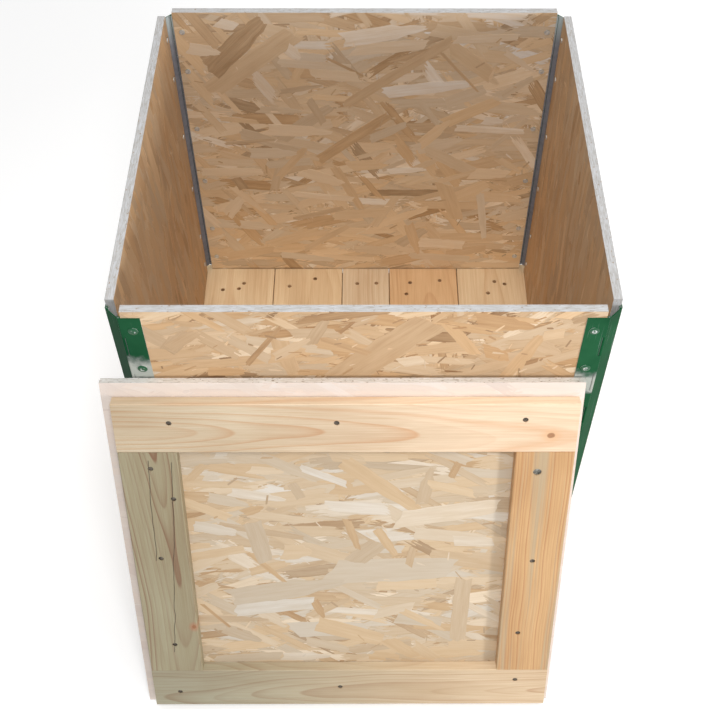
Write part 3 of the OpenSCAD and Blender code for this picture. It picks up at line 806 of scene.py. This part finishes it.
def make_pine_grain():
    inputs = {"Place": ORIGIN, "Seed": 0.0, "Heart": (0.0, 0.0, -0.05), "Ring": 0.004,
              "Wave": 0.012, "Slope": 0.0}
    outputs = dict.fromkeys(("Rings", "Fibres", "Clouds"), "Float")
    tree, given, result = new_group("pine_grain", inputs, outputs)
    shift = put(tree, "CombineXYZ", (0.0, times(tree, given["Seed"], 1.37), given["Seed"]))
    place = calc_vector(tree, "ADD", given["Place"], shift)
    along = parts_of(tree, place)[1]
    bend_place = put(tree, "CombineXYZ", (given["Seed"], along, 0.0))
    bend = noise(tree, bend_place, 2.6, 2.0, 0.5)
    bend_more = streaked(tree, place, (9, 3, 9), 2.0, 0.5)
    off = calc_vector(tree, "SUBTRACT", given["Place"], given["Heart"])
    off_x, off_y, off_z = parts_of(tree, off)
    off_z = scaled(tree, off_y, given["Slope"], off_z)
    sway = times(tree, centred(tree, bend), 4.0)
    off_x = scaled(tree, sway, given["Wave"], off_x)
    radius = calc(tree, "SQRT", calc(tree, "ADD", times(tree, off_x, off_x),
                                     times(tree, off_z, off_z)))
    radius = scaled(tree, centred(tree, bend_more), 0.016, radius)
    years = calc(tree, "DIVIDE", radius, given["Ring"])
    good_years = noise(tree, put(tree, "CombineXYZ", (years, given["Seed"], 0.0)), 0.6, 1.0, 0.5)
    years = scaled(tree, good_years, 1.6, years)
    ring = calc(tree, "FRACT", years)
    year = put(tree, "CombineXYZ", (calc(tree, "FLOOR", years), given["Seed"], 0.0))
    depth = put(tree, "TexWhiteNoise", {"Vector": year})
    depth = scaled(tree, depth, 0.75, 0.25)
    late = calc(tree, "POWER", ring, 2.8)
    late = times(tree, late, ramp_value(tree, ring, 0.90, 1.0, 1.0, 0.0))
    late = times(tree, late, depth)
    fibres = streaked(tree, place, (900, 14, 900), 4.0, 0.7)
    clouds = streaked(tree, place, (22, 5, 22), 3.0, 0.5)
    tree.links.new(late, result["Rings"])
    tree.links.new(fibres, result["Fibres"])
    tree.links.new(clouds, result["Clouds"])
    return tree

pine_grain = make_pine_grain()
print("pine grain:", len(pine_grain.nodes), "nodes")

# %% [markdown]
# A knot is where a branch left the trunk: a dark round spot with its own rings, and the grain
# darkens beside it. It is a group of its own, placed at a point of the board.

# %% Knots

def make_knot():
    inputs = {"Place": ORIGIN, "Centre": ORIGIN, "Size": 0.008}
    outputs = dict.fromkeys(("Core", "Halo", "Rings"), "Float")
    tree, given, result = new_group("knot", inputs, outputs)
    off = calc_vector(tree, "SUBTRACT", given["Place"], given["Centre"])
    off = stretched(tree, off, 1.0, 0.78, 0.15)
    wobble = noise(tree, off, 120.0, 2.0, 0.5)
    reach = calc_vector(tree, "LENGTH", off, out=1)
    reach = calc(tree, "DIVIDE", reach, given["Size"])
    reach = scaled(tree, centred(tree, wobble), 0.5, reach)
    tree.links.new(ramp_value(tree, reach, 0.75, 1.1, 1.0, 0.0), result["Core"])
    tree.links.new(ramp_value(tree, reach, 0.8, 3.2, 1.0, 0.0), result["Halo"])
    tree.links.new(calc(tree, "FRACT", times(tree, reach, 3.6)), result["Rings"])
    return tree

knot_group = make_knot()
print("knot:", len(knot_group.nodes), "nodes")

# %% [markdown]
# Boards split along the grain as they dry. A split is a hair-thin dark line between two points,
# that wanders a little; its dark colour is painted shade, the shade inside the crack.

# %% Splits

def make_split():
    inputs = {"Place": ORIGIN, "Start": ORIGIN, "End": (0.0, 0.1, 0.0), "Width": 0.0005}
    tree, given, result = new_group("split", inputs, {"Split": "Float"})
    wander = streaked(tree, given["Place"], (4, 28, 4), 2.0, 0.5)
    wander = put(tree, "CombineXYZ", (scaled(tree, wander, 0.005, -0.0025), 0.0, 0.0))
    flat = calc_vector(tree, "ADD", stretched(tree, given["Place"], 1, 1, 0), wander)
    off = calc_vector(tree, "SUBTRACT", flat, given["Start"])
    line = calc_vector(tree, "SUBTRACT", given["End"], given["Start"])
    reach = calc_vector(tree, "LENGTH", line, out=1)
    along = calc_vector(tree, "DOT_PRODUCT", off, line, out=1)
    along = calc(tree, "DIVIDE", along, times(tree, reach, reach), clamp=True)
    spot = put(tree, "VectorMath", {0: line, "Scale": along}, operation="SCALE")
    away = calc_vector(tree, "DISTANCE", off, spot, out=1)
    tree.links.new(ramp_value(tree, away, given["Width"], 0.0), result["Split"])
    return tree

split_group = make_split()
print("split:", len(split_group.nodes), "nodes")

# %% [markdown]
# ## Pine boards
# Every board is sawn from another place of a trunk, so one function makes them all from the
# place of the heart, a ring width and a tint for each end. The deck is fresh, the lid's left
# batten and one end of the bottom one have turned grey, and the top one fades to cream.

# %% Pine material
PINE_PALE = seen(243, 230, 208)
PINE_LATE = seen(202, 158, 114)
PINE_KNOT = seen(122, 76, 44)
FIBRE_TINTS = [(0.3, seen(232, 220, 204)), (0.66, seen(255, 255, 255))]
CLOUD_TINTS = [(0.3, seen(226, 212, 198)), (0.7, seen(255, 253, 250))]
BOARD_END = 0.24

def pine_material(name, order, seed, heart, ring, tints, leaning=False, knots=(), late=PINE_LATE,
                  strength=0.5, slope=0.0, streaks=0.0, splits=()):
    """tints are the board's colours at its two ends, which lie at -BOARD_END and BOARD_END."""
    made, tree = new_material(name)
    place, _ = board_place(tree, order, leaning)
    grain = use_group(tree, pine_grain, {
        "Place": place, "Seed": seed, "Heart": heart, "Ring": ring, "Slope": slope})
    colour = mix_colour(tree, times(tree, grain["Rings"], strength), PINE_PALE, late)
    fibre = colours(tree, grain["Fibres"], FIBRE_TINTS)
    colour = mix_colour(tree, 0.7, colour, fibre, "MULTIPLY")
    cloud = colours(tree, grain["Clouds"], CLOUD_TINTS)
    colour = mix_colour(tree, 0.8, colour, cloud, "MULTIPLY")
    along = ramp_value(tree, parts_of(tree, place)[1], -BOARD_END, BOARD_END)
    tint = mix_colour(tree, along, tints[0], tints[1])
    colour = mix_colour(tree, 1.0, colour, tint, "MULTIPLY")
    height = scaled(tree, grain["Rings"], 0.35, grain["Fibres"])
    if streaks:
        streak = streaked(tree, place, (110, 1.6, 110), 3.0, 0.55)
        streak = times(tree, ramp_value(tree, streak, 0.50, 0.66), streaks)
        colour = mix_colour(tree, streak, colour, seen(176, 160, 132))
    for x, y, size in knots:
        knot = use_group(tree, knot_group, {"Place": place, "Centre": (x, y, 0.02), "Size": size})
        colour = mix_colour(tree, times(tree, knot["Halo"], 0.45), colour, late)
        core = colours(tree, knot["Rings"], [(0.2, PINE_KNOT), (0.9, seen(158, 104, 62))])
        colour = mix_colour(tree, times(tree, knot["Core"], 0.75), colour, core)
    for start, end in splits:
        split = use_group(tree, split_group, {
            "Place": place, "Start": (*start, 0), "End": (*end, 0)})
        # painted shade: the split is coloured dark, for the shade inside the crack
        share = times(tree, split["Split"], 0.85)
        colour = mix_colour(tree, share, colour, seen(70, 58, 40))
        height = scaled(tree, split["Split"], -4.0, height)
    rough = mix_value(tree, grain["Rings"], 0.62, 0.5)
    finish_surface(tree, colour, rough, height, 0.0002)
    return made

# board: seed, place of the heart across and through, ring width, tint
DECK = {
    "deck_board_left": (1.0, (-0.21, 0, 0.02), 0.0042, seen(241, 229, 208)),
    "deck_board_mid_left": (2.3, (-0.07, 0, 0.05), 0.0036, seen(240, 227, 205)),
    "deck_board_middle": (4.1, (0.06, 0, 0.02), 0.0046, seen(238, 231, 219)),
    "deck_board_mid_right": (5.6, (0.10, 0, 0.04), 0.0038, seen(238, 214, 184)),
    "deck_board_right": (7.7, (0.19, 0, 0.06), 0.0040, seen(236, 224, 204)),
}
DECK_KNOTS = {"deck_board_right": [(0.1825, 0.238, 0.006)]}
for name, (seed, heart, ring, tint) in DECK.items():
    knots = DECK_KNOTS.get(name, ())
    dress(name, pine_material(name + "_pine", "xyz", seed, heart, ring, (tint, tint), knots=knots,
                              slope=0.02))
SKIDS = {"skid_back": 11.2, "skid_middle": 13.5, "skid_front": 17.9}
for name, seed in SKIDS.items():
    tint = seen(224, 208, 182)
    dress(name, pine_material(name + "_pine", "yxz", seed, (0.02, 0, -0.05), 0.005, (tint, tint)))

# batten: order, seed, heart, ring width, tints at its ends, late wood, strength, slope, streaks
BATTENS = {
    "lid_batten_top": (
        "yxz", 21.0, (0.428, 0.0, -0.006), 0.0046,
        (seen(216, 214, 208), seen(252, 242, 236)), seen(224, 172, 124), 0.75, 0.055, 0),
    "lid_batten_bottom": (
        "yxz", 24.0, (0.030, -0.1, -0.004), 0.0044,
        (seen(180, 190, 187), seen(238, 230, 219)), seen(190, 140, 98), 0.8, -0.06, 0),
    "lid_batten_left": (
        "xyz", 27.0, (-0.196, 0.2, 0.002), 0.0046,
        (seen(176, 181, 168), seen(176, 181, 170)), seen(178, 96, 56), 1.0, -0.05, 0),
    "lid_batten_right": (
        "xyz", 31.0, (0.30, 0.2, 0.0), 0.0034,
        (seen(228, 202, 166), seen(224, 196, 160)), seen(196, 130, 80), 0.9, 0.03, 0.7),
}
BATTEN_KNOTS = {
    "lid_batten_top": [(0.425, 0.215, 0.0035)],
    "lid_batten_left": [(-0.1785, 0.144, 0.0025)],
}
BATTEN_SPLITS = {
    "lid_batten_left": [
        ((-0.2053, 0.392), (-0.2089, 0.3265)), ((-0.2089, 0.3265), (-0.2109, 0.250)),
        ((-0.1815, 0.390), (-0.1851, 0.3265)), ((-0.1851, 0.3265), (-0.2053, 0.1014)),
    ],
}
for name, (order, seed, heart, ring, tints, late, strength, slope, streaks) in BATTENS.items():
    knots, splits = BATTEN_KNOTS.get(name, ()), BATTEN_SPLITS.get(name, ())
    dress(name, pine_material(
        name + "_pine", order, seed, heart, ring, tints, True, knots, late, strength, slope,
        streaks, splits))
print("pine on", len(DECK) + len(SKIDS) + len(BATTENS), "boards")

# %% [markdown]
# ## Hinge steel
# The hinge strips are sheet steel with a green coat outside. The inner side of a spine, seen
# in the corners inside the crate, is bare zinc, painted paler towards its open top as painted
# light. The normal tells the two sides apart: on the inner side it points to the middle of the
# crate. The leaves are painted a little paler and duller than the spines, which is painted
# light on the leaves that face the front.

# %% Green and zinc
LID_EDGE_HEIGHT = 0.458
FRONT_FACE, LID_REFLECTION_END, RIGHT_REFLECTION_LOWER = -0.2431, (0.2400, 0.2375), 0.020

def outward(tree, place, normal):
    """Above 0 where a surface looks away from the crate's middle, below 0 where it looks in."""
    return calc_vector(tree, "DOT_PRODUCT", normal, stretched(tree, place, 1.0, 1.0, 0.0), out=1)

def steel_material(name, dark, pale):
    made, tree = new_material(name)
    place, normal = surface(tree)
    inner = ramp_value(tree, outward(tree, place, normal), -0.02, -0.08)
    clouds = noise(tree, place, 14.0, 4.0, 0.6)
    green = colours(tree, clouds, [(0.3, dark), (0.7, pale)])
    spangle = put(tree, "TexVoronoi", {"Vector": place, "Scale": 160.0}, 0, feature="F1")
    grey = scaled(tree, clouds, 0.7, times(tree, spangle, 0.3))
    zinc = colours(tree, grey, [(0.25, seen(126, 124, 130)), (0.75, seen(152, 152, 158))])
    x, y, z = parts_of(tree, place)
    # painted light: the zinc is paler near the open top, where more light reaches the corner
    zinc = mix_colour(tree, ramp_value(tree, z, 0.50, 0.545), zinc, seen(184, 194, 194))

    # painted reflection: the front strips show the pale lid in a band about its upper edge, painted
    # in pale grey, higher on the left one
    above = calc(tree, "SUBTRACT", z, LID_EDGE_HEIGHT)
    wave = times(tree, centred(tree, noise(tree, place, 60.0, 3.0, 0.6)), 0.03)
    above = calc(tree, "ADD", above, wave)
    lower = times(tree, calc(tree, "GREATER_THAN", x, 0.0), RIGHT_REFLECTION_LOWER)
    above = calc(tree, "ADD", above, lower)
    band = ramp_value(tree, above, -0.012, 0.0)
    band = times(tree, band, ramp_value(tree, above, 0.033, 0.018))
    front = calc(tree, "LESS_THAN", y, FRONT_FACE)
    reach = times(tree, front, ramp_value(tree, x, *LID_REFLECTION_END))
    lid_reflection = times(tree, band, reach)
    streaks = streaked(tree, place, (700, 700, 9), 3.0, 0.6)
    scratched = ramp_value(tree, streaks, 0.63, 0.72)
    scratched = times(tree, scratched, ramp_value(tree, clouds, 0.5, 0.62))
    # the zinc colour goes where the steel is bare inside, where it is scratched, and where the
    # lid's reflection is painted
    bare_and_painted_light = calc(tree, "MAXIMUM", inner, calc(tree, "MAXIMUM", lid_reflection, scratched))
    colour = mix_colour(tree, bare_and_painted_light, green, mix_colour(tree, lid_reflection, zinc, seen(176, 180, 172)))
    rough = mix_value(tree, bare_and_painted_light, scaled(tree, clouds, 0.2, 0.30), 0.46)
    finish_surface(tree, colour, rough, clouds, 0.0004, gloss=0.02)
    return made

def plain_steel(name, dark, bright, rough):
    made, tree = new_material(name)
    place = surface(tree)[0]
    clouds = noise(tree, place, 240.0, 3.0, 0.6)
    colour = colours(tree, clouds, [(0.35, dark), (0.65, bright)])
    spotty = scaled(tree, clouds, 0.2, rough)
    finish_surface(tree, colour, spotty, clouds, 0.0001, 0.85)
    return made

def rivet_material(name):
    """Rivets were coated with the strips. A head has spots of bright zinc at its top as a painted
    highlight, and a tail is uncoated.
    """
    made, tree = new_material(name)
    place, normal = surface(tree)
    x, y, _ = parts_of(tree, normal)
    # painted highlight: spots of bright zinc on the top of a dome, where the normal points straight
    # out, stand for a glint
    straight = calc(tree, "MAXIMUM", calc(tree, "ABSOLUTE", x), calc(tree, "ABSOLUTE", y))
    clouds = noise(tree, place, 300.0, 3.0, 0.6)
    dome_highlight = scaled(tree, clouds, 0.03, straight)
    bare_and_painted_light = ramp_value(tree, dome_highlight, 0.985, 1.008)
    bare_and_painted_light = times(tree, bare_and_painted_light, ramp_value(tree, clouds, 0.47, 0.56))
    tail = ramp_value(tree, outward(tree, place, normal), 0.02, -0.02)
    bare_and_painted_light = calc(tree, "MAXIMUM", bare_and_painted_light, tail)
    zinc = colours(tree, clouds, [(0.35, seen(176, 180, 180)), (0.65, seen(226, 228, 226))])
    colour = mix_colour(tree, bare_and_painted_light, seen(24, 84, 52), zinc)
    finish_surface(tree, colour, 0.35, clouds, 0.0001, times(tree, bare_and_painted_light, 0.5))
    return made

# painted light: the leaves, which face the front, get a paler green than the spines
leaf_paint = steel_material("leaf_paint", seen(22, 72, 45), seen(40, 95, 62))
spine_paint = steel_material("spine_paint", seen(10, 62, 36), seen(22, 86, 50))
for name in nodes:
    if name.endswith("_leaf"):
        dress(name, leaf_paint)
    if name.endswith("_spine"):
        dress(name, spine_paint)
rivet_coat = rivet_material("rivet_coat")
pin_wire = plain_steel("pin_wire", seen(84, 88, 86), seen(124, 128, 126), 0.5)
nail_iron = plain_steel("nail_iron", seen(70, 62, 56), seen(130, 122, 112), 0.45)
nail_rust = plain_steel("nail_rust", seen(116, 88, 62), seen(168, 136, 104), 0.6)
for name in nodes:
    if name.endswith("_rivets"):
        dress(name, rivet_coat)
    if name.endswith("_pin"):
        dress(name, pin_wire)
dress("deck_nails", nail_rust)
dress("lid_nails", nail_iron)
dress("lid_screw", plain_steel("screw_zinc", seen(70, 68, 64), seen(170, 168, 160), 0.3))
print("steel done")

# %% [markdown]
# ## Sheet between the knuckles
# The sheet of a corner spine reaches almost to the round knuckles of the leaves, so no light
# comes through, and it ends just above the deck. It is made as one thin flat bar, hollowed
# along both sides by a cylinder a hair wider than a knuckle, and it lies inside the sheet.
# Under the lowest knuckles, a short round foot goes on to the deck at each pin.

# %% The bar of one corner
PIN_IN, FOLD = 0.00085, 0.01379
KNUCKLE, PIN_HALF_SPAN = 0.00175, 0.00915
SHEET_FOOT, SHEET_TOP = 0.1063, 0.5493
STEEL_FOOT = 0.1120
SIDE_PLAY, BAR_THICK, BAR_IN, HAIR = 0.0003, 0.0007, 0.0004, 0.00005

def keep_outside(piece, cutter):
    """Cuts one piece with another and removes the cutter."""
    cut = piece.modifiers.new("cut", "BOOLEAN")
    cut.operation = "DIFFERENCE"
    cut.object = cutter
    bpy.context.view_layer.objects.active = piece
    bpy.ops.object.modifier_apply(modifier="cut")
    bpy.data.objects.remove(cutter)

height, middle = SHEET_TOP - SHEET_FOOT, (SHEET_TOP + SHEET_FOOT) / 2
bpy.ops.mesh.primitive_cube_add(size=1)
bar = bpy.context.object
bpy.ops.object.mode_set(mode="EDIT")
bpy.ops.transform.resize(value=(2 * (PIN_HALF_SPAN - SIDE_PLAY), BAR_THICK, height))
bpy.ops.transform.translate(value=(0, -PIN_IN - BAR_IN, middle))
bpy.ops.object.mode_set(mode="OBJECT")
for side in (-1, 1):
    bpy.ops.mesh.primitive_cylinder_add(
        vertices=48, radius=KNUCKLE + HAIR, depth=height + 0.02,
        location=(side * PIN_HALF_SPAN, 0, middle))
    keep_outside(bar, bpy.context.object)
bpy.context.view_layer.objects.active = bar
bpy.ops.object.mode_set(mode="EDIT")
for side in (-1, 1):
    bpy.ops.mesh.primitive_cylinder_add(
        vertices=32, radius=KNUCKLE + 2 * HAIR, depth=STEEL_FOOT - SHEET_FOOT,
        location=(side * PIN_HALF_SPAN, 0, (SHEET_FOOT + STEEL_FOOT) / 2))
bpy.ops.object.mode_set(mode="OBJECT")
print("the bar has", len(bar.data.vertices), "vertices")

# %% A bar in each corner
half_way = (PIN_IN + FOLD) / 2
to_corner = Matrix.Translation((half_way, half_way, 0)) @ Matrix.Rotation(math.radians(-45), 4, "Z")
for end, y in (("back", 1), ("front", -1)):
    for side, x in (("left", -1), ("right", 1)):
        place = Matrix.Translation((x * HALF_X, y * HALF_Y, 0)) @ Matrix.Diagonal((-x, -y, 1, 1))
        mesh = bar.data.copy()
        mesh.transform(place @ to_corner)
        if x * y < 0:
            mesh.flip_normals()
        mesh.materials.clear()
        mesh.materials.append(spine_paint)
        sheet = bpy.data.objects.new(f"{end}_{side}_spine_sheet", mesh)
        bpy.context.collection.objects.link(sheet)
        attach(sheet, f"{end}_{side}_spine")
bpy.data.objects.remove(bar)
print("sheets in 4 corners")
